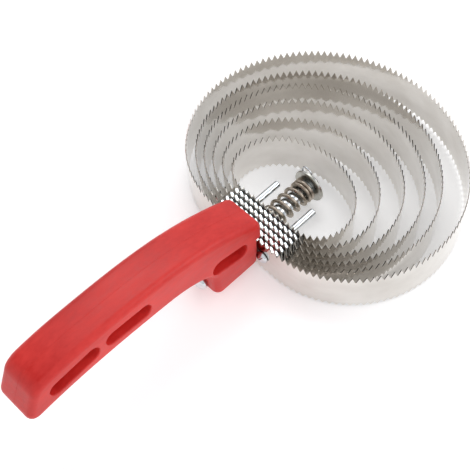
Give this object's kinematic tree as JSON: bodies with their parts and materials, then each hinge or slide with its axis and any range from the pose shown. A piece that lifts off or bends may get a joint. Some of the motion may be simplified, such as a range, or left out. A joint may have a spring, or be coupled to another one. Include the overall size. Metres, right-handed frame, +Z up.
{
  "type": "curry comb",
  "caption": "Reversible grooming comb with nested toothed spring-steel loops on a sprung bolt and a moulded handle.",
  "frame": {"origin": "under the middle of the outline, in the plane of the loops' lower tooth tips", "axes": "+X along the bolt from the handle to the head, +Z up, away from the surface the loops lie on"},
  "size_m": [0.2746, 0.1558, 0.0635],
  "materials": {
    "handle_plastic": "satin moulded",
    "spring_steel": "bright rolled",
    "zinc_plate": "bright zinc",
    "spring_wire": "oiled dark steel"
  },
  "bodies": {
    "handle_body": {"handle": "handle_plastic", "bolt": "zinc_plate", "end_washer": "zinc_plate", "split_pin": "zinc_plate", "compression_spring": "spring_wire"},
    "comb_head": {"toothed_loop_1": "spring_steel", "toothed_loop_2": "spring_steel", "toothed_loop_3": "spring_steel", "toothed_loop_4": "spring_steel", "toothed_loop_5": "spring_steel", "toothed_loop_6": "spring_steel", "spacer_bar_1": "zinc_plate", "spacer_bar_2": "zinc_plate", "spacer_bar_3": "zinc_plate", "spacer_bar_4": "zinc_plate", "spacer_bar_5": "zinc_plate", "guide_pin_left": "zinc_plate", "guide_pin_right": "zinc_plate"}
  },
  "joints": [
    {"name": "head_slide", "type": "slide", "parent": "handle_body", "child": "comb_head", "axis": [1, 0, 0], "range_m": [0, 0.01], "stiffness_N_per_m": 2000, "springref_m": -0.01, "deforming": ["compression_spring"]}
  ]
}
